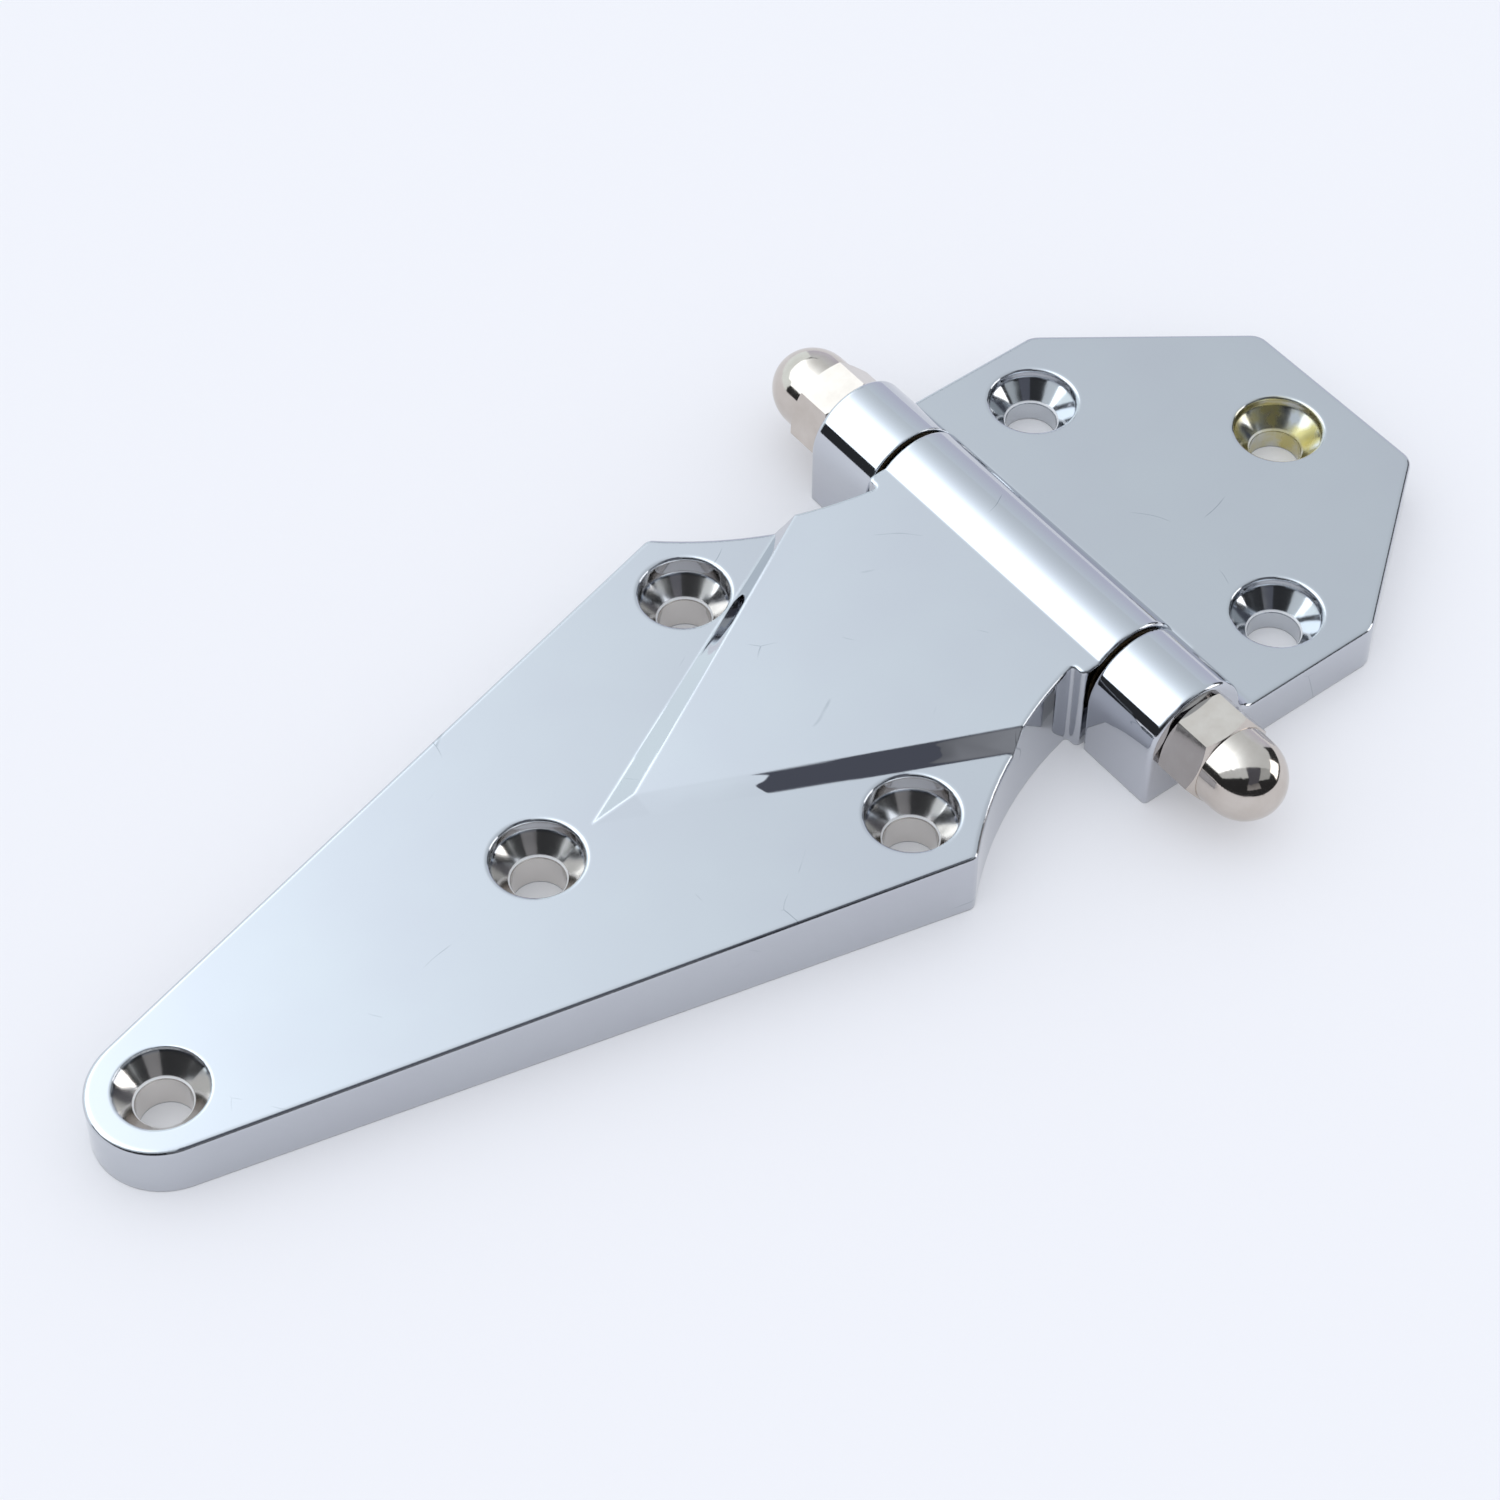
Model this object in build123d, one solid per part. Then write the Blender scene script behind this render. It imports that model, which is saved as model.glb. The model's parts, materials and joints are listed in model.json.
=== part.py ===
from build123d import *
import os
from math import asin, atan2, cos, hypot, pi, radians, sin, tan

# Strap hinge for a heavy insulated door, lying open and flat on its back.
# Millimetres. X runs along the hinge, strap toward -X and short fixed leaf toward +X.
# Y runs along the hinge pin. Z is up, away from the mounting surface.
# The origin is on the mounting surface, straight under the middle of the pin.

# ---------------------------------------------------------------- driving dimensions
PIN_Z = 8.1              # height of the pin axis above the mounting surface
PIN_R = 3.175            # quarter inch pin
PIN_HALF = 41.2          # half the length of the pin
PIN_CHAMFER = 0.6
THREAD_LENGTH = 9.0      # threaded length at each end of the pin
THREAD_PITCH = 1.27
THREAD_DEPTH = 0.28

BARREL_R = 7.45          # middle knuckle, on the strap
BARREL_HALF = 20.35      # half its length
KNUCKLE_R = 7.25         # the two end knuckles, on the fixed leaf
KNUCKLE_IN = 21.15       # inner face of an end knuckle
KNUCKLE_OUT = 32.2       # outer face of an end knuckle, flush with the leaf side
KNUCKLE_BORE_R = 3.24
VALLEY_R = 2.5           # hollow between an end knuckle and its leaf

BUSH_R = 4.5             # bore of the strap barrel, filled by the bushes
BUSH_SEAT_GAP = 0.01
BUSH_BORE_R = 3.225
BUSH_LENGTH = 14.0
FLANGE_R = 6.2
FLANGE_THICK = 0.7
GREASE_R = 3.7           # bore of the barrel between the two bushes

HOLE_R = 3.3             # screw hole
COUNTERBORE_R = 5.6      # room for the screw head
CONE_ANGLE = 82.0        # included angle of the countersink
STRAP_CONE_Z = 4.55      # bottom of the countersink above the back, strap
LEAF_CONE_Z = 2.8        # and fixed leaf
RIM_ROUND = 0.45         # rounding of each screw hole's rim

TIP_X = -124.8           # centre of the rounded tip and of its screw hole
TIP_R = 8.8
WIDE_X = -33.4           # widest place of the strap
WIDE_HALF = 31.75
WIDE_ROUND = 1.3
ARC_MID = (-20.6, 22.85)  # a place the scooped side passes through
NECK = (-7.8, 18.5)      # where the scooped side ends and the strap steps out to the barrel
NECK_ROUND = 0.5         # inner corner of that step
STEP_ROUND = 0.7         # and its outer corner
STRAP_TOP_0 = 10.44      # strap top height carried on to the pin
STRAP_SLOPE = 0.024      # and its fall per millimetre toward the tip
MID_X = -73.3            # middle screw hole
PAIR_X = -35.2           # pair of screw holes at the wide end
PAIR_Y = 21.9
PANEL_END = (-5.03, 13.6)  # raised triangle: its top meets the barrel at this x and height
PANEL_SLOPE = 4.1        # fall of its top toward the point, degrees
PANEL_APEX_X = -59.15    # point of its top
PANEL_FLARE = 0.5253     # half width of its top per millimetre from that point
FOOT_APEX_X = -65.5      # point of its foot on the strap
FOOT_FLARE = 0.498       # half width of its foot per millimetre from that point

LEAF_TOP = 6.65
LEAF_EDGE_X = 8.45       # edge of the fixed leaf that faces the barrel
LEAF_EDGE_ROUND = 1.5
SHOULDER_X = 29.4        # end of the parallel part of the fixed leaf
FAR_X = 53.3
FAR_HALF = 14.2
FAR_ROUND = 2.6
SHOULDER_ROUND = 3.0
LEAF_PAIR_X = 21.9
LEAF_PAIR_Y = 23.0
LEAF_FAR_HOLE_X = 43.4

EDGE_ROUND = 0.6         # polished edges of both leaves
CREASE_ROUND = 0.3       # hollow where the raised triangle meets the middle knuckle
BARREL_ROUND = 0.4       # ends of the middle knuckle

NUT_FLATS = 11.1         # across flats
NUT_HEX = 6.0            # height of the hexagon
NUT_HEIGHT = 14.0
NUT_BORE_R = 3.2
NUT_BORE_DEPTH = 10.2
DOME_R = 5.35
DOME_STRAIGHT = 2.2      # straight part of the dome before it rounds over
NUT_CORNER_CUT = 30.0    # angle of the chamfer on the hexagon's corners
NUT_TURN_NEAR = 36.0     # corner of the hexagon measured from straight up
NUT_TURN_FAR = 45.0

# ---------------------------------------------------------------- small allowances
PAST = 1.0               # a cutter runs this far past the metal it cuts
NEAR = 0.1               # edges and corners are picked out within this distance
PANEL_ROOT = 2.0         # the raised triangle is rooted this deep in the strap
PANEL_POINT = 0.02       # half width of its top at the point
FOOT_POINT = 0.05        # half width of its foot at the point
FLANGE_CHAMFER = 0.15
NUT_FACE_CUT = 0.15      # the corner chamfer of a nut starts this far inside its flats
DOME_ROOT = 1.0          # the dome is rooted this deep in the hexagon
DOME_STEPS = 8           # spans of the curve that draws the dome


def along_y(profile, y0, y1):
    """Extrude a profile drawn as (x, z) points or edges from y0 to y1."""
    plane = Plane(origin=(0, y0, 0), x_dir=(1, 0, 0), z_dir=(0, -1, 0))
    return extrude(plane * profile, -(y1 - y0))


def pin_cylinder(radius, y0, y1):
    """A cylinder round the pin axis between two stations."""
    plane = Plane(origin=(0, y0, PIN_Z), x_dir=(1, 0, 0), z_dir=(0, 1, 0))
    return extrude(plane * Circle(radius), y1 - y0)


def strap_top(x):
    """Height of the strap's sloping top face."""
    return STRAP_TOP_0 + STRAP_SLOPE * x


def screw_hole(x, y, cone_z, top_z):
    """Cutter for one screw hole: through hole, countersink cone and counterbore."""
    cone_top = cone_z + (COUNTERBORE_R - HOLE_R) / tan(radians(CONE_ANGLE / 2))
    profile = Polyline(
        (0, -PAST), (HOLE_R, -PAST), (HOLE_R, cone_z), (COUNTERBORE_R, cone_top),
        (COUNTERBORE_R, top_z + PAST), (0, top_z + PAST), close=True)
    return Pos(x, y, 0) * revolve(Plane.XZ * make_face(profile), Axis.Z)


def cut_screw_hole(body, x, y, cone_z, top_z):
    """Cut one screw hole and round its rim."""
    body = body - screw_hole(x, y, cone_z, top_z)
    rims = []
    for edge in body.edges():
        box = edge.bounding_box()
        middle = box.center()
        wide = abs(box.size.X - 2 * COUNTERBORE_R) < NEAR
        if wide and hypot(middle.X - x, middle.Y - y) < NEAR and abs(middle.Z - top_z) < NEAR:
            rims.append(edge)
    return fillet(rims, RIM_ROUND)


def strap_outline():
    """Plan of the strap: rounded tip, straight sides, scooped shoulders, neck."""
    run = WIDE_X - TIP_X
    lean = atan2(WIDE_HALF, run) - asin(TIP_R / hypot(run, WIDE_HALF))
    tx = TIP_X + TIP_R * cos(pi / 2 + lean)
    ty = TIP_R * sin(pi / 2 + lean)
    side = [Line((tx, ty), (WIDE_X, WIDE_HALF)),
            ThreePointArc((WIDE_X, WIDE_HALF), ARC_MID, NECK),
            Line(NECK, (NECK[0], BARREL_HALF)),
            Line((NECK[0], BARREL_HALF), (0, BARREL_HALF)),
            Line((0, BARREL_HALF), (0, 0))]
    tip = ThreePointArc((tx, ty), (TIP_X - TIP_R, 0), (tx, -ty))
    other = [edge.mirror(Plane.XZ) for edge in side]
    face = make_face(Curve() + [*side, *other, tip])
    corners = face.vertices().filter_by(lambda v: abs(v.X - WIDE_X) < NEAR)
    face = fillet(corners, WIDE_ROUND)
    step = face.vertices().filter_by(lambda v: abs(v.X - NECK[0]) < NEAR)
    face = fillet(step.filter_by(lambda v: abs(v.Y) > NECK[1] + NEAR), STEP_ROUND)
    step = face.vertices().filter_by(lambda v: abs(v.X - NECK[0]) < NEAR)
    return fillet(step.filter_by(lambda v: abs(v.Y) < NECK[1] + NEAR), NECK_ROUND)


def panel_top(x):
    """Height of the raised triangle's top."""
    return PANEL_END[1] + (x - PANEL_END[0]) * tan(radians(PANEL_SLOPE))


def panel_section(x):
    """Cross-section of the raised triangle at one station: narrower at its top than its foot."""
    foot = FOOT_FLARE * (x - FOOT_APEX_X)
    top = max(PANEL_FLARE * (x - PANEL_APEX_X), PANEL_POINT)
    base = strap_top(x) - PANEL_ROOT
    outline = Polyline((-foot, base), (-foot, strap_top(x)), (-top, panel_top(x)),
                       (top, panel_top(x)), (foot, strap_top(x)), (foot, base), close=True)
    return Plane(origin=(x, 0, 0), x_dir=(0, 1, 0), z_dir=(1, 0, 0)) * make_face(outline)


def raised_triangle():
    """The raised triangle that climbs from its point to the middle knuckle."""
    x = FOOT_APEX_X + FOOT_POINT / FOOT_FLARE
    foot = strap_top(x)
    lift = PANEL_POINT / 2
    base = foot - PANEL_ROOT
    nose = Polyline((-FOOT_POINT, base), (-FOOT_POINT, foot), (-lift, foot + lift),
                    (lift, foot + lift), (FOOT_POINT, foot), (FOOT_POINT, base), close=True)
    nose = Plane(origin=(x, 0, 0), x_dir=(0, 1, 0), z_dir=(1, 0, 0)) * make_face(nose)
    front = loft([nose, panel_section(PANEL_APEX_X)], ruled=True)
    return front + loft([panel_section(PANEL_APEX_X), panel_section(0)], ruled=True)


def round_edges(body, radius, places, reach=0.7):
    """Round the edges whose middles are near (x, +-y, z) for each given place."""
    found = []
    for edge in body.edges():
        c = edge.center()
        for x, y, z in places:
            if abs(c.X - x) < reach and abs(abs(c.Y) - y) < reach and abs(c.Z - z) < reach:
                found.append(edge)
    return fillet(found, radius)


def make_strap():
    """Strap with its raised triangle, middle knuckle, screw holes and bush seats."""
    plan = extrude(strap_outline(), PIN_Z + BARREL_R)
    end = TIP_X - TIP_R - PAST
    side = Polyline((end, 0), (end, strap_top(end)), (0, STRAP_TOP_0), (0, 0), close=True)
    slab = along_y(make_face(side), -WIDE_HALF - PAST, WIDE_HALF + PAST)
    body = (slab + raised_triangle()) & plan
    body = body + pin_cylinder(BARREL_R, -BARREL_HALF, BARREL_HALF)
    body = round_edges(body, CREASE_ROUND, [(PANEL_END[0], 0, PANEL_END[1])])
    body = round_edges(body, BARREL_ROUND, [
        (6.95, BARREL_HALF, 10.8),
        (-6.06, BARREL_HALF, panel_top(-6.06))])
    body = round_edges(body, EDGE_ROUND, [
        (TIP_X - TIP_R, 0, strap_top(TIP_X - TIP_R)),
        (-80.5, 20.1, strap_top(-80.5)),
        (WIDE_X, WIDE_HALF, strap_top(WIDE_X)),
        (-26.8, 26.5, strap_top(-26.8))])
    body = body - screw_hole(TIP_X, 0, STRAP_CONE_Z, strap_top(TIP_X))
    for x, y in [(MID_X, 0), (PAIR_X, PAIR_Y), (PAIR_X, -PAIR_Y)]:
        body = cut_screw_hole(body, x, y, STRAP_CONE_Z, strap_top(x))
    body = body - pin_cylinder(GREASE_R, -BARREL_HALF - PAST, BARREL_HALF + PAST)
    for side in (-1, 1):
        outer = side * (BARREL_HALF + PAST)
        inner = side * (BARREL_HALF - BUSH_LENGTH)
        body = body - pin_cylinder(BUSH_R, min(outer, inner), max(outer, inner))
    return body


def knuckle_profile(back):
    """Side view of an end knuckle and its leaf: upright front, round top, hollow, flat top."""
    reach = KNUCKLE_R + VALLEY_R
    lift = LEAF_TOP + VALLEY_R - PIN_Z
    cx = (reach ** 2 - lift ** 2) ** 0.5
    touch = Vector(cx, lift) * (KNUCKLE_R / reach) + Vector(0, PIN_Z)
    centre = Vector(cx, PIN_Z + lift)
    inward = ((touch - centre).normalized() + Vector(0, -1)).normalized()
    hollow = centre + inward * VALLEY_R
    edges = [Line((-KNUCKLE_R, 0), (-KNUCKLE_R, PIN_Z)),
             ThreePointArc((-KNUCKLE_R, PIN_Z), (0, PIN_Z + KNUCKLE_R), (touch.X, touch.Y)),
             ThreePointArc((touch.X, touch.Y), (hollow.X, hollow.Y), (cx, LEAF_TOP)),
             Line((cx, LEAF_TOP), (back, LEAF_TOP)),
             Line((back, LEAF_TOP), (back, 0)),
             Line((back, 0), (-KNUCKLE_R, 0))]
    return make_face(Curve() + edges)


def slot_profile(back):
    """Side view of the leaf behind the middle knuckle, with its rounded upper edge."""
    r = LEAF_EDGE_ROUND
    on_arc = (LEAF_EDGE_X + r - r * cos(radians(45)), LEAF_TOP - r + r * sin(radians(45)))
    edges = [Line((LEAF_EDGE_X, 0), (LEAF_EDGE_X, LEAF_TOP - r)),
             ThreePointArc((LEAF_EDGE_X, LEAF_TOP - r), on_arc, (LEAF_EDGE_X + r, LEAF_TOP)),
             Line((LEAF_EDGE_X + r, LEAF_TOP), (back, LEAF_TOP)),
             Line((back, LEAF_TOP), (back, 0)),
             Line((back, 0), (LEAF_EDGE_X, 0))]
    return make_face(Curve() + edges)


def make_leaf():
    """Fixed leaf with its two end knuckles, slot for the middle knuckle and screw holes."""
    front = -KNUCKLE_R - PAST
    outline = Polyline(
        (front, KNUCKLE_OUT), (SHOULDER_X, KNUCKLE_OUT), (FAR_X, FAR_HALF),
        (FAR_X, -FAR_HALF), (SHOULDER_X, -KNUCKLE_OUT), (front, -KNUCKLE_OUT), close=True)
    plan = make_face(outline)
    plan = fillet(plan.vertices().filter_by(lambda v: v.X > FAR_X - NEAR), FAR_ROUND)
    plan = fillet(plan.vertices().filter_by(lambda v: abs(v.X - SHOULDER_X) < NEAR),
                  SHOULDER_ROUND)
    back = FAR_X + PAST
    body = along_y(slot_profile(back), -KNUCKLE_IN, KNUCKLE_IN)
    body = body + along_y(knuckle_profile(back), KNUCKLE_IN, KNUCKLE_OUT + PAST)
    body = body + along_y(knuckle_profile(back), -KNUCKLE_OUT - PAST, -KNUCKLE_IN)
    body = body & extrude(plan, PIN_Z + KNUCKLE_R)
    rim = []
    for edge in body.edges():
        c = edge.center()
        on_side = abs(abs(c.Y) - KNUCKLE_OUT) < NEAR and c.Z > LEAF_TOP - NEAR
        on_side = on_side and c.X > -KNUCKLE_R + NEAR
        behind = c.X > SHOULDER_X - SHOULDER_ROUND and abs(c.Z - LEAF_TOP) < NEAR
        if on_side or behind:
            rim.append(edge)
    body = fillet(rim, EDGE_ROUND)
    holes = [(LEAF_PAIR_X, LEAF_PAIR_Y), (LEAF_PAIR_X, -LEAF_PAIR_Y), (LEAF_FAR_HOLE_X, 0)]
    for x, y in holes:
        body = cut_screw_hole(body, x, y, LEAF_CONE_Z, LEAF_TOP)
    return body - pin_cylinder(KNUCKLE_BORE_R, -KNUCKLE_OUT - PAST, KNUCKLE_OUT + PAST)


def make_pin():
    """Plain shank with a thread cut at each end, drawn as the rings of its section."""
    groove = [(0, 0), (PIN_R - PIN_CHAMFER, 0), (PIN_R, PIN_CHAMFER)]
    turns = int((THREAD_LENGTH - PIN_CHAMFER) / THREAD_PITCH)
    for turn in range(turns):
        start = PIN_CHAMFER + 0.25 * THREAD_PITCH + turn * THREAD_PITCH
        groove.append((PIN_R, start))
        groove.append((PIN_R - THREAD_DEPTH, start + 0.35 * THREAD_PITCH))
        groove.append((PIN_R, start + 0.7 * THREAD_PITCH))
    groove.append((PIN_R, PIN_HALF))
    groove.append((0, PIN_HALF))
    half = revolve(Plane.XZ * make_face(Polyline(*groove, close=True)), Axis.Z)
    body = None
    for side in (-1, 1):
        seat = Plane(origin=(0, side * PIN_HALF, PIN_Z), x_dir=(0, 0, 1), z_dir=(0, -side, 0))
        piece = seat.location * half
        body = piece if body is None else body + piece
    return body


def make_bush(side):
    """Flanged plain bush; its flange fills the gap beside the middle knuckle."""
    face = BARREL_HALF + BUSH_SEAT_GAP
    tube = pin_cylinder(BUSH_R - BUSH_SEAT_GAP, face - BUSH_LENGTH + 0.5, face)
    flange = pin_cylinder(FLANGE_R, face, face + FLANGE_THICK)
    body = tube + flange - pin_cylinder(BUSH_BORE_R, 0, face + FLANGE_THICK + PAST)
    lips = [e for e in body.edges() if abs(e.bounding_box().size.X - 2 * FLANGE_R) < NEAR]
    body = chamfer(lips, FLANGE_CHAMFER)
    return body if side > 0 else body.mirror(Plane.XZ)


def make_nut(side, turn):
    """Cap nut: hexagon with its corners cut back, domed end, blind bore."""
    corner = NUT_FLATS / 2 / cos(radians(30))
    prism = extrude(RegularPolygon(corner, 6), NUT_HEX)
    cut = tan(radians(NUT_CORNER_CUT))
    flat = NUT_FLATS / 2 - NUT_FACE_CUT
    reach = corner + PAST
    lens = Polyline((0, 0), (flat, 0), (reach, (reach - flat) * cut),
                    (reach, NUT_HEX - (reach - flat) * cut), (flat, NUT_HEX), (0, NUT_HEX),
                    close=True)
    prism = prism & revolve(Plane.XZ * make_face(lens), Axis.Z)
    straight = NUT_HEX + DOME_STRAIGHT
    crown = NUT_HEIGHT - straight
    low = NUT_HEX - DOME_ROOT
    crown_points = []
    for step in range(DOME_STEPS + 1):
        turned = step * pi / 2 / DOME_STEPS
        crown_points.append((DOME_R * cos(turned), straight + crown * sin(turned)))
    side_view = [Line((0, low), (DOME_R, low)),
                 Line((DOME_R, low), (DOME_R, straight)),
                 Spline(*crown_points, tangents=[(0, 1), (-1, 0)]),
                 Line((0, NUT_HEIGHT), (0, low))]
    dome = revolve(Plane.XZ * make_face(Curve() + side_view), Axis.Z)
    bore = Polyline((0, -1), (NUT_BORE_R + 0.9, -1), (NUT_BORE_R + 0.5, 0), (NUT_BORE_R, 0.5),
                    (NUT_BORE_R, NUT_BORE_DEPTH), (0, NUT_BORE_DEPTH + 1.2), close=True)
    body = prism + dome - revolve(Plane.XZ * make_face(bore), Axis.Z)
    seat = Plane(origin=(0, side * KNUCKLE_OUT, PIN_Z), x_dir=(0, 0, 1), z_dir=(0, side, 0))
    return seat.location * Rot(0, 0, -side * turn) * body


PIECES = {
    "strap_leaf": make_strap,
    "fixed_leaf": make_leaf,
    "hinge_pin": make_pin,
    "bush_near": lambda: make_bush(-1),
    "bush_far": lambda: make_bush(1),
    "cap_nut_near": lambda: make_nut(-1, NUT_TURN_NEAR),
    "cap_nut_far": lambda: make_nut(1, NUT_TURN_FAR),
}

os.makedirs("parts", exist_ok=True)
for name, make in PIECES.items():
    export_step(make(), "parts/" + name + ".step")
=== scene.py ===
import json
from math import cos, radians, sin

import bpy
from mathutils import Matrix, Vector

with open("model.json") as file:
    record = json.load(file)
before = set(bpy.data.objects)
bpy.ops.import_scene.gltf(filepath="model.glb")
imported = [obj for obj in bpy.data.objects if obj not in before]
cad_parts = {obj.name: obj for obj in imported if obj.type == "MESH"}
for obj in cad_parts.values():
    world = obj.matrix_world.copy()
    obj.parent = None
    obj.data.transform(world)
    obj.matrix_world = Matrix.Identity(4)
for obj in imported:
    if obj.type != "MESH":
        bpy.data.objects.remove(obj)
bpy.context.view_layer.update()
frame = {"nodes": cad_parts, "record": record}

# A chromed strap hinge lying open on a pale table, under a large soft light.
# Metres, in the hinge's own frame: +X toward the fixed leaf, +Y along the pin, +Z up.
# Names ending in _MM are millimetres.

MM = 0.001

# ---------------------------------------------------------------- finish of the castings
MOUTH_MM = (5.25, 5.45)  # the satin inside a screw hole, its colour painted lighter and warmer as painted light, fades out between these radii
RIM_HIGHLIGHT_START_MM = (3.32, 3.36)  # a painted highlight ring at the rim of each through hole comes in between these radii and fades out between these
RIM_HIGHLIGHT_END_MM = (3.45, 3.6)     # radii and fades out between these
STAIN_MM = (5.5, 6.0)    # the stained hole's colour fades out between these radii
BACK_MM = (0.03, 0.1)    # the back face ends between these heights
EDGE_MM = 0.5            # soft radius of every edge in the plating
RIPPLE_MM = 0.012        # height of the buffing ripple

# ---------------------------------------------------------------- studio
TABLE_HALF = 4.0
TABLE_Z = -0.0001        # just under the hinge's back
CLOTH_HEIGHT = 1.0
CLOTH_TURN = -30.0       # the cloth lies turned about Z by this many degrees
CLOTH_ENDS = (-3.0, 2.0)     # its two ends along its own length
CLOTH_SIDES = (-0.33, 1.35)  # and its near and far sides
KEY_GLOW = 2.4           # glow over the lamps
FILL_GLOW = 0.84         # glow of the cloth far from them
SPILL = 0.35             # extra glow at the middle of the cloth
SPILL_FALL = 4.0         # how fast that dies away, per metre
WINGS = (                # cloths on the near side: start, end, depth, colour, glow
    ("left_wing", -3.0, -0.03, 0.6, "EFF8FF", 0.8),
    ("dim_ceiling", -0.03, 0.68, 2.0, "E2E8FF", 0.14),
    ("right_wing", 0.68, 2.0, 0.9, "EFF8FF", 0.55),
)
WALLS = (                # compass angle, distance, height, half width, half height, finish
    ("far_sweep", 35, 2.2, 0.8, 1.0, 0.8, ("grey_paper_sweep", "D8DBEC", 1.0, "E6F0F8")),
    ("lit_wall", 100, 2.2, 0.9, 1.95, 0.9, ("lit_wall", "EEFAFF", 1.2)),
    ("dim_wall", -110, 1.6, 0.75, 0.5, 0.25, ("dim_wall", "F6F8FF", 0.46, "2C3038")),
    ("small_window", -31, 1.5, 0.5, 0.4, 0.35, ("window_light", "FFFFFF", 2.6)),
)
GRADE_HEIGHTS = (0.3, 1.5)   # a graded card changes colour between these heights
ROOM_LIGHT = 1.24        # the room as a light on matt things
ROOM_SEEN = 0.97         # the room seen directly
ROOM_MIRRORED = 0.04     # the room in the plating

# ---------------------------------------------------------------- camera
AZIMUTH, ELEVATION, ROLL = -38.2, 50.1, 0.345
DISTANCE = 0.4999        # from the hinge's origin, with the eye moved over by
SLIDE, RISE = -0.03315, -0.01638
LENS_MM = 96.3


def linear(code):
    """sRGB hex colour to linear RGBA."""
    out = []
    for i in (0, 2, 4):
        c = int(code[i:i + 2], 16) / 255
        out.append(c / 12.92 if c <= 0.04045 else ((c + 0.055) / 1.055) ** 2.4)
    return (*out, 1.0)


def add(tree, kind, inputs=None, stops=(), **settings):
    """Adds one node. Settings are its attributes. Inputs go by name or number: an output of
    another node is linked, a hex colour or a number is set. Stops are a colour ramp's places
    and hex colours."""
    node = tree.nodes.new(kind)
    for name, value in settings.items():
        setattr(node, name, value)
    for key, value in (inputs or {}).items():
        if isinstance(value, bpy.types.NodeSocket):
            tree.links.new(value, node.inputs[key])
        else:
            node.inputs[key].default_value = linear(value) if isinstance(value, str) else value
    if stops:
        for element, (place, code) in zip(node.color_ramp.elements, stops):
            element.position = place
            element.color = linear(code)
    return node


def new_material(name):
    material = bpy.data.materials.new(name)
    material.use_nodes = True
    material.node_tree.nodes.clear()
    return material, material.node_tree


def grains(size_mm):
    """Noise scale that gives grains of this size in millimetres."""
    return 1 / (size_mm * MM)


# ---------------------------------------------------------------- finishes
def screw_centres(*mounts):
    """Where the screw holes of these mounting patterns are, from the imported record."""
    centres = []
    for mount in frame["record"]["mounts"]:
        if mount["name"] in mounts:
            middle, dims = Vector(mount["pos_m"]), mount["dims"]
            for axis, key in enumerate(("spacing_x_mm", "spacing_y_mm")):
                if key in dims:
                    step = Vector((0, 0, 0))
                    step[axis] = dims[key] * MM / 2
                    centres += [middle - step, middle + step]
            if "r_mm" in dims:
                centres.append(middle)
    return centres


def from_axis(tree, place, centres):
    """Distance in plan to the nearest of these centres."""
    plan = add(tree, "ShaderNodeVectorMath", {0: place, 1: (1.0, 1.0, 0.0)},
               operation="MULTIPLY").outputs["Vector"]
    nearest = None
    for c in centres:
        away = add(tree, "ShaderNodeVectorMath", {0: plan, 1: (c.x, c.y, 0.0)},
                   operation="DISTANCE").outputs["Value"]
        if nearest is not None:
            away = add(tree, "ShaderNodeMath", {0: nearest, 1: away},
                       operation="MINIMUM").outputs["Value"]
        nearest = away
    return nearest


def hairlines(tree, place):
    """A few short, fine rubs: broken pieces of a wandering net of lines."""
    wander = add(tree, "ShaderNodeTexNoise", {"Vector": place, "Scale": grains(20)})
    bent = add(tree, "ShaderNodeVectorMath",
               {0: wander.outputs["Color"], 1: (0.012, 0.012, 0.0), 2: place},
               operation="MULTIPLY_ADD").outputs["Vector"]
    net = add(tree, "ShaderNodeTexVoronoi", {"Vector": bent, "Scale": grains(17)},
              feature="DISTANCE_TO_EDGE").outputs["Distance"]
    line = add(tree, "ShaderNodeMapRange",
               {"Value": net, 1: 0.001, 2: 0.005, 3: 1.0, 4: 0.0}).outputs["Result"]
    patches = add(tree, "ShaderNodeTexNoise", {"Vector": bent, "Scale": grains(11)})
    shown = add(tree, "ShaderNodeMapRange",
                {"Value": patches.outputs["Fac"], 1: 0.61, 2: 0.67}).outputs["Result"]
    return add(tree, "ShaderNodeMath", {0: line, 1: shown}, operation="MULTIPLY").outputs["Value"]


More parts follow.
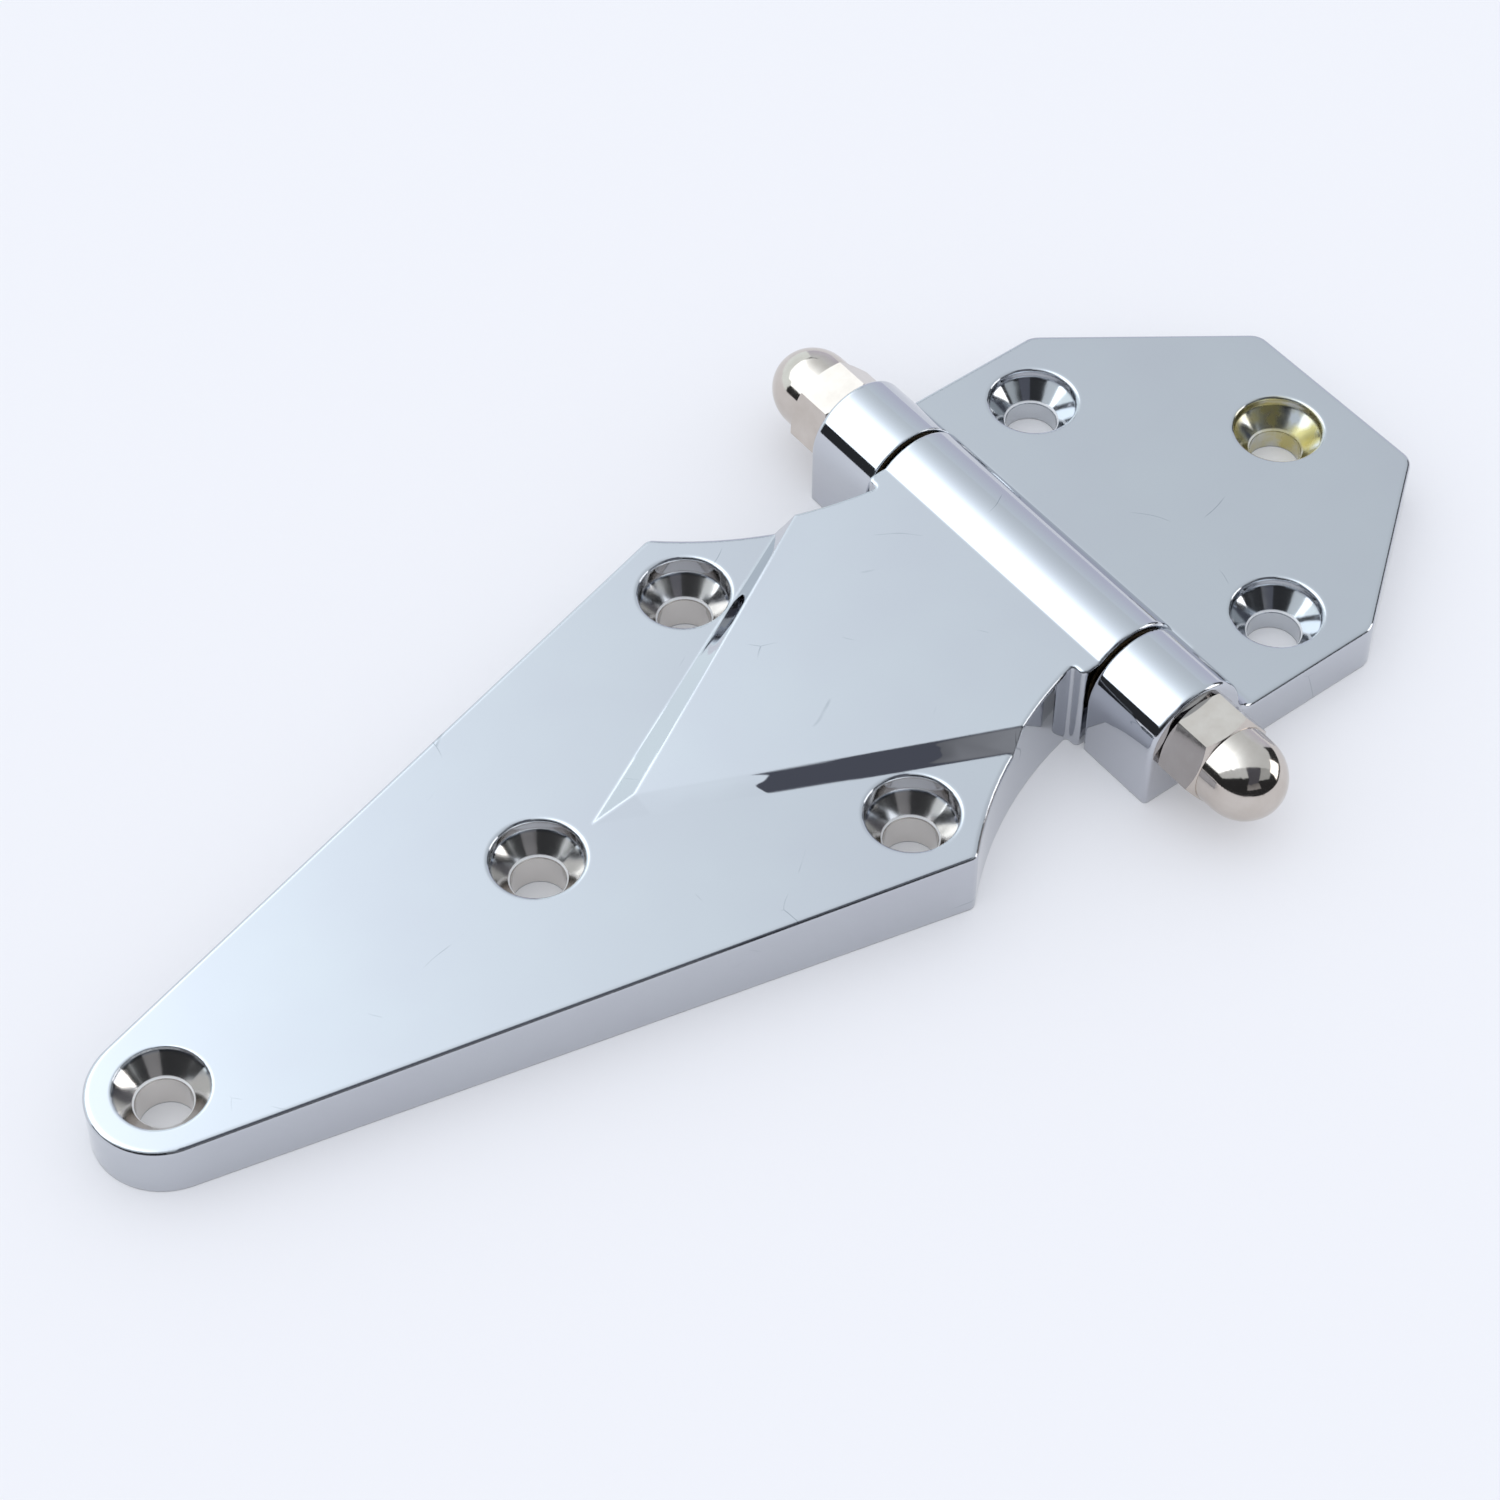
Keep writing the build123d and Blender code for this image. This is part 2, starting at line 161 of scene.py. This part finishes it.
def bright_chrome(name, holes, hole_colour_painted_lighter, hole_rough, stained=None):
    """Chrome plate over a polished casting: a cool mirror. What gives it away is a faint
    ripple left by buffing, a breath of haze, a few hairline rubs, satin screw holes whose walls are
    painted lighter and warmer as painted light, a painted highlight ring at each through hole's rim,
    and an unpolished back."""
    material, tree = new_material(name)
    place = add(tree, "ShaderNodeTexCoord").outputs["Object"]
    haze = add(tree, "ShaderNodeTexNoise",
               {"Vector": place, "Scale": grains(14), "Detail": 2.0, "Roughness": 0.5}).outputs["Fac"]
    colour = add(tree, "ShaderNodeValToRGB", {"Fac": haze},
                 stops=((0.3, "C4C6CC"), (0.7, "C6C9CE"))).outputs["Color"]
    rough = add(tree, "ShaderNodeMapRange",
                {"Value": haze, 1: 0.35, 2: 0.7, 3: 0.02, 4: 0.045}).outputs["Result"]

    # where each part of the finish lies
    away = from_axis(tree, place, holes)
    height = add(tree, "ShaderNodeSeparateXYZ", {0: place}).outputs["Z"]
    back, inside, inner, painted_rim_highlight = (
        add(tree, "ShaderNodeMapRange",
            {"Value": value, 1: start * MM, 2: end * MM, 3: 1.0, 4: 0.0}).outputs["Result"]
        for value, (start, end) in (
            (height, BACK_MM), (away, MOUTH_MM), (away, RIM_HIGHLIGHT_START_MM), (away, RIM_HIGHLIGHT_END_MM)))
    inside = add(tree, "ShaderNodeMath", {0: inside, 1: back}, operation="SUBTRACT",
                 use_clamp=True).outputs["Value"]
    inner = add(tree, "ShaderNodeMath", {0: inner, 1: back}, operation="MAXIMUM").outputs["Value"]
    painted_rim_highlight = add(tree, "ShaderNodeMath", {0: painted_rim_highlight, 1: inner}, operation="SUBTRACT",
              use_clamp=True).outputs["Value"]
    # the painted highlight ring at each through hole's rim is made nearly non-metallic so its
    # near-white colour shows as a bright line
    metal = add(tree, "ShaderNodeMapRange", {"Value": painted_rim_highlight, 3: 1.0, 4: 0.2}).outputs["Result"]
    # hole walls: satin finish, with their colour painted lighter and warmer as painted light
    layers = [(inside, hole_colour_painted_lighter, hole_rough), (painted_rim_highlight, "F2F0EE", 0.5)]
    if stained:
        cloud = add(tree, "ShaderNodeTexNoise",
                    {"Vector": place, "Scale": grains(4), "Detail": 3.0}).outputs["Fac"]
        cloud = add(tree, "ShaderNodeMapRange", {"Value": cloud, 1: 0.35, 2: 0.62})
        patch = add(tree, "ShaderNodeMapRange",
                    {"Value": from_axis(tree, place, stained), 1: STAIN_MM[0] * MM,
                     2: STAIN_MM[1] * MM, 3: 1.0, 4: 0.0})
        stain = add(tree, "ShaderNodeMath",
                    {0: patch.outputs["Result"], 1: cloud.outputs["Result"]},
                    operation="MULTIPLY")
        layers.append((stain.outputs["Value"], "C9BE84", 0.3))
    # the grit of an unpolished casting, drawn coarser than it is so that it shows
    grit = add(tree, "ShaderNodeTexNoise",
               {"Vector": place, "Scale": grains(0.6), "Detail": 2.0}).outputs["Fac"]
    unpolished = add(tree, "ShaderNodeMapRange",
                     {"Value": grit, 1: 0.3, 2: 0.7, 3: 0.42, 4: 0.58}).outputs["Result"]
    layers += [(back, "CCCED1", unpolished), (hairlines(tree, place), "A4A9AF", 0.2)]
    for mask, code, sheen in layers:
        colour = add(tree, "ShaderNodeMix", {0: mask, 6: colour, 7: code},
                     data_type="RGBA").outputs[2]
        rough = add(tree, "ShaderNodeMix", {0: mask, 2: rough, 3: sheen},
                    data_type="FLOAT").outputs[0]

    ripple = add(tree, "ShaderNodeTexNoise",
                 {"Vector": place, "Scale": grains(9), "Detail": 1.0, "Roughness": 0.4}).outputs["Fac"]
    soft_edges = add(tree, "ShaderNodeBevel", {"Radius": EDGE_MM * MM}, samples=8)
    bump = add(tree, "ShaderNodeBump",
               {"Height": ripple, "Normal": soft_edges.outputs["Normal"],
                "Strength": 0.2, "Distance": RIPPLE_MM * MM})
    shader = add(tree, "ShaderNodeBsdfPrincipled",
                 {"Base Color": colour, "Roughness": rough, "Metallic": metal,
                  "Normal": bump.outputs["Normal"]})
    add(tree, "ShaderNodeOutputMaterial", {"Surface": shader.outputs[0]})
    return material


def mottled_metal(name, stops, sheen, grain_mm, roughness=0.5):
    """A metal whose colour and sheen drift together in soft clouds of this size."""
    material, tree = new_material(name)
    place = add(tree, "ShaderNodeTexCoord").outputs["Object"]
    cloud = add(tree, "ShaderNodeTexNoise",
                {"Vector": place, "Scale": grains(grain_mm), "Detail": 4.0,
                 "Roughness": roughness}).outputs["Fac"]
    tint = add(tree, "ShaderNodeValToRGB", {"Fac": cloud}, stops=stops)
    rough = add(tree, "ShaderNodeMapRange",
                {"Value": cloud, 1: 0.3, 2: 0.7, 3: sheen[0], 4: sheen[1]})
    shader = add(tree, "ShaderNodeBsdfPrincipled",
                 {"Base Color": tint.outputs["Color"], "Roughness": rough.outputs["Result"],
                  "Metallic": 1.0})
    add(tree, "ShaderNodeOutputMaterial", {"Surface": shader.outputs[0]})
    return material


def table_top():
    """Pale matt board, cool white, lit a little from within like a light table."""
    material, tree = new_material("pale_matt_board")
    shader = add(tree, "ShaderNodeBsdfPrincipled", {
        "Base Color": "DBD8D6", "Roughness": 0.9, "Specular IOR Level": 0.1,
        "Emission Color": "F4F8FF", "Emission Strength": 0.18})
    add(tree, "ShaderNodeOutputMaterial", {"Surface": shader.outputs[0]})
    return material


def glowing(name, code, strength, top=None):
    """A card that glows; with a top colour it changes gradually with height."""
    material, tree = new_material(name)
    glow = add(tree, "ShaderNodeEmission", {"Color": code, "Strength": strength})
    if top:
        place = add(tree, "ShaderNodeTexCoord").outputs["Object"]
        height = add(tree, "ShaderNodeSeparateXYZ", {0: place}).outputs["Z"]
        share = add(tree, "ShaderNodeMapRange",
                    {"Value": height, 1: GRADE_HEIGHTS[0], 2: GRADE_HEIGHTS[1]})
        grade = add(tree, "ShaderNodeValToRGB", {"Fac": share.outputs["Result"]},
                    stops=((0.0, code), (1.0, top)))
        tree.links.new(grade.outputs["Color"], glow.inputs["Color"])
    add(tree, "ShaderNodeOutputMaterial", {"Surface": glow.outputs[0]})
    return material


def diffuser_cloth(along):
    """Cloth lit by lamps behind its far left end; the glow dies away along its length."""
    material, tree = new_material("diffuser_cloth")
    place = add(tree, "ShaderNodeTexCoord").outputs["Object"]
    way = add(tree, "ShaderNodeVectorMath", {0: place, 1: along * -SPILL_FALL},
              operation="DOT_PRODUCT").outputs["Value"]
    fall = add(tree, "ShaderNodeMath", {0: way}, operation="EXPONENT").outputs["Value"]
    glow = add(tree, "ShaderNodeMath", {0: fall, 1: SPILL, 2: FILL_GLOW},
               operation="MULTIPLY_ADD").outputs["Value"]
    glow = add(tree, "ShaderNodeMath", {0: glow, 1: KEY_GLOW},
               operation="MINIMUM").outputs["Value"]
    shine = add(tree, "ShaderNodeEmission", {"Strength": glow, "Color": "EFF8FF"})
    add(tree, "ShaderNodeOutputMaterial", {"Surface": shine.outputs[0]})
    return material


# ---------------------------------------------------------------- building the studio
def card(name, centre, along, across, material, table=False):
    """A flat rectangle given by its centre and its two half-side vectors. Only the table is
    seen and casts light and shade; the other cards show in the plating alone."""
    c, a, b = Vector(centre), Vector(along), Vector(across)
    mesh = bpy.data.meshes.new(name)
    mesh.from_pydata([c - a - b, c + a - b, c + a + b, c - a + b], [], [(0, 1, 2, 3)])
    mesh.materials.append(material)
    obj = bpy.data.objects.new(name, mesh)
    bpy.context.scene.collection.objects.link(obj)
    obj.visible_camera = table
    obj.visible_shadow = table
    obj.visible_diffuse = table


def overhead():
    """The large cloth over the table, and the cloths that carry it on toward the near side."""
    turn = radians(CLOTH_TURN)
    along = Vector((cos(turn), sin(turn), 0))
    across = Vector((-sin(turn), cos(turn), 0))
    (start, end), (near, far) = CLOTH_ENDS, CLOTH_SIDES
    lift = Vector((0, 0, CLOTH_HEIGHT))
    card("overhead_diffuser", along * (start + end) / 2 + across * (near + far) / 2 + lift,
         along * (end - start) / 2, across * (far - near) / 2, diffuser_cloth(along))
    for name, start, end, depth, code, strength in WINGS:
        card(name, along * (start + end) / 2 + across * (near - depth / 2) + lift,
             along * (end - start) / 2, across * depth / 2,
             glowing(name + "_cloth", code, strength))


def walls():
    """Standing cards that face the hinge."""
    for name, azimuth, away, height, half_width, half_height, finish in WALLS:
        out = Vector((cos(radians(azimuth)), sin(radians(azimuth)), 0))
        card(name, out * away + Vector((0, 0, height)), Vector((-out.y, out.x, 0)) * half_width,
             (0, 0, half_height), glowing(*finish))


def room():
    """Backdrop: pale to the eye, even as a light, nearly dark in the plating."""
    world = bpy.data.worlds.new("room")
    world.use_nodes = True
    tree = world.node_tree
    ray = add(tree, "ShaderNodeLightPath")
    seen = add(tree, "ShaderNodeMath",
               {0: ray.outputs["Is Camera Ray"], 1: ROOM_SEEN - ROOM_LIGHT, 2: ROOM_LIGHT},
               operation="MULTIPLY_ADD")
    direct = add(tree, "ShaderNodeMath", {0: ray.outputs["Diffuse Depth"], 1: 0.5},
                 operation="LESS_THAN")
    plating = add(tree, "ShaderNodeMath",
                  {0: ray.outputs["Is Glossy Ray"], 1: direct.outputs["Value"]},
                  operation="MULTIPLY")
    strength = add(tree, "ShaderNodeMath",
                   {0: plating.outputs["Value"], 1: ROOM_MIRRORED - ROOM_LIGHT,
                    2: seen.outputs["Value"]}, operation="MULTIPLY_ADD")
    background = tree.nodes["Background"]
    background.inputs["Color"].default_value = linear("E9EFFA")
    tree.links.new(strength.outputs["Value"], background.inputs["Strength"])
    bpy.context.scene.world = world


def camera():
    azimuth, elevation, roll = radians(AZIMUTH), radians(ELEVATION), radians(ROLL)
    back = Vector((sin(azimuth) * cos(elevation), -cos(azimuth) * cos(elevation), sin(elevation)))
    level = Vector((0, 0, 1)).cross(back).normalized()
    upright = back.cross(level)
    right = cos(roll) * level + sin(roll) * upright
    up = -sin(roll) * level + cos(roll) * upright
    eye = back * DISTANCE + right * SLIDE + up * RISE
    data = bpy.data.cameras.new("camera")
    data.lens = LENS_MM
    data.sensor_width = 36.0
    obj = bpy.data.objects.new("camera", data)
    bpy.context.scene.collection.objects.link(obj)
    obj.matrix_world = Matrix((
        (right.x, up.x, back.x, eye.x), (right.y, up.y, back.y, eye.y),
        (right.z, up.z, back.z, eye.z), (0, 0, 0, 1)))
    bpy.context.scene.camera = obj


camera()
card("floor", (0, 0, TABLE_Z), (TABLE_HALF, 0, 0), (0, TABLE_HALF, 0), table_top(), table=True)
overhead()
walls()
room()
bpy.context.scene.view_settings.view_transform = "Standard"

stained_hole = screw_centres("leaf_far_hole")
# the hole colours given here are painted lighter and warmer than the chrome, as painted light on the
# hole walls
strap_chrome = bright_chrome(
    "bright_chrome_plate", screw_centres("strap_pair", "strap_line"), "E0DCD8", 0.14)
leaf_chrome = bright_chrome(
    "bright_chrome_leaf", screw_centres("leaf_pair") + stained_hole, "CDD0D4", 0.1, stained_hole)
# nickel plate over turned brass: warmer and softer than the chrome
nickel = mottled_metal("nickel_plated_brass", ((0.3, "C6BDB4"), (0.7, "D0C8C0")),
                       (0.06, 0.14), 3, 0.6)
# the pin hides inside the knuckles: plain turned steel, dull
steel = mottled_metal("turned_steel", ((0.3, "8F9296"), (0.7, "A9ACB0")), (0.22, 0.36), 1.5)
# only the rims of the bushes show, darkened by oil
bronze = mottled_metal("bearing_bronze", ((0.3, "33291C"), (0.7, "4A3C28")), (0.4, 0.55), 1.2)

for node, material in (
        ("strap_leaf", strap_chrome), ("fixed_leaf", leaf_chrome), ("hinge_pin", steel),
        ("cap_nut_near", nickel), ("cap_nut_far", nickel),
        ("bush_near", bronze), ("bush_far", bronze)):
    frame["nodes"][node].material_slots[0].material = material
